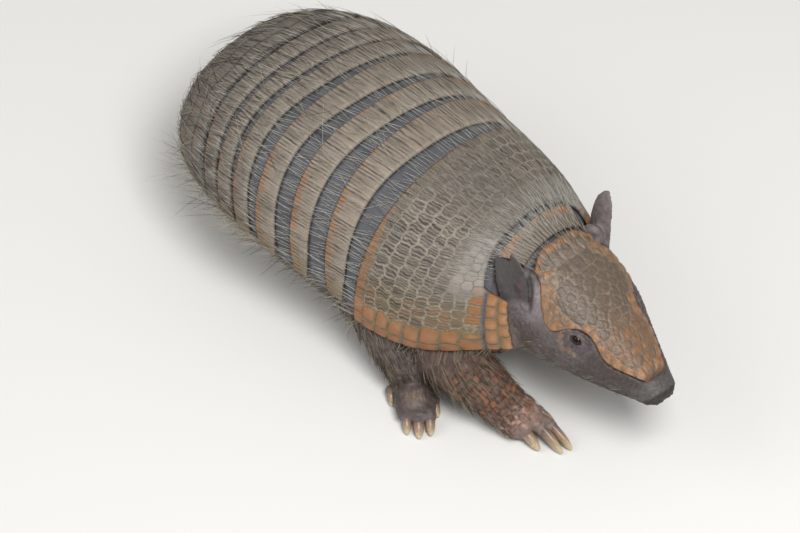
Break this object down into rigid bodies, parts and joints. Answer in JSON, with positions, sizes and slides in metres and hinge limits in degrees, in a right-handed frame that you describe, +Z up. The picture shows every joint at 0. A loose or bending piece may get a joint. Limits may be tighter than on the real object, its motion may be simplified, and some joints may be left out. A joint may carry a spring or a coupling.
{
  "type": "six-banded armadillo model",
  "caption": "Life-size still model of an adult yellow armadillo, walking with its head lowered, with fixed armour bands, a scaly head shield, ears, legs, claws and tail.",
  "frame": {"origin": "middle of the bounding box at floor level, under the belly", "axes": "+X toward the nose, +Y to the animal's left, +Z up; the soles stand on z = 0"},
  "size_m": [0.4446, 0.2317, 0.155],
  "materials": {
    "skin": "bare wrinkled skin, purplish grey",
    "leg_skin": "scaly reddish brown skin with orange scales on the forearm",
    "ear_skin": "dark grey granular skin",
    "shell": "striated horny scutes, grey-tan with orange margins and pale bristles",
    "head_scutes": "smooth horny scutes, olive brown with orange margins",
    "tail_rings": "rings of small horny scutes",
    "claw": "ivory horn, worn pale at the points",
    "eye": "dark wet eye"
  },
  "bodies": {
    "root": {"trunk": "skin", "neck": "skin", "tail": "tail_rings", "scapular_shield": "shell", "band_1": "shell", "band_2": "shell", "band_3": "shell", "band_4": "shell", "band_5": "shell", "band_6": "shell", "pelvic_shield": "shell", "nuchal_band": "shell", "head": "skin", "head_shield": "head_scutes", "eye_left": "eye", "ear_left": "ear_skin", "eye_right": "eye", "ear_right": "ear_skin", "leg_front_right": "leg_skin", "claw_front_right_1": "claw", "claw_front_right_2": "claw", "claw_front_right_3": "claw", "claw_front_right_4": "claw", "claw_front_right_5": "claw", "leg_front_left": "leg_skin", "claw_front_left_1": "claw", "claw_front_left_2": "claw", "claw_front_left_3": "claw", "claw_front_left_4": "claw", "claw_front_left_5": "claw", "leg_hind_right": "leg_skin", "claw_hind_right_1": "claw", "claw_hind_right_2": "claw", "claw_hind_right_3": "claw", "claw_hind_right_4": "claw", "claw_hind_right_5": "claw", "leg_hind_left": "leg_skin", "claw_hind_left_1": "claw", "claw_hind_left_2": "claw", "claw_hind_left_3": "claw", "claw_hind_left_4": "claw", "claw_hind_left_5": "claw"}
  },
  "joints": []
}
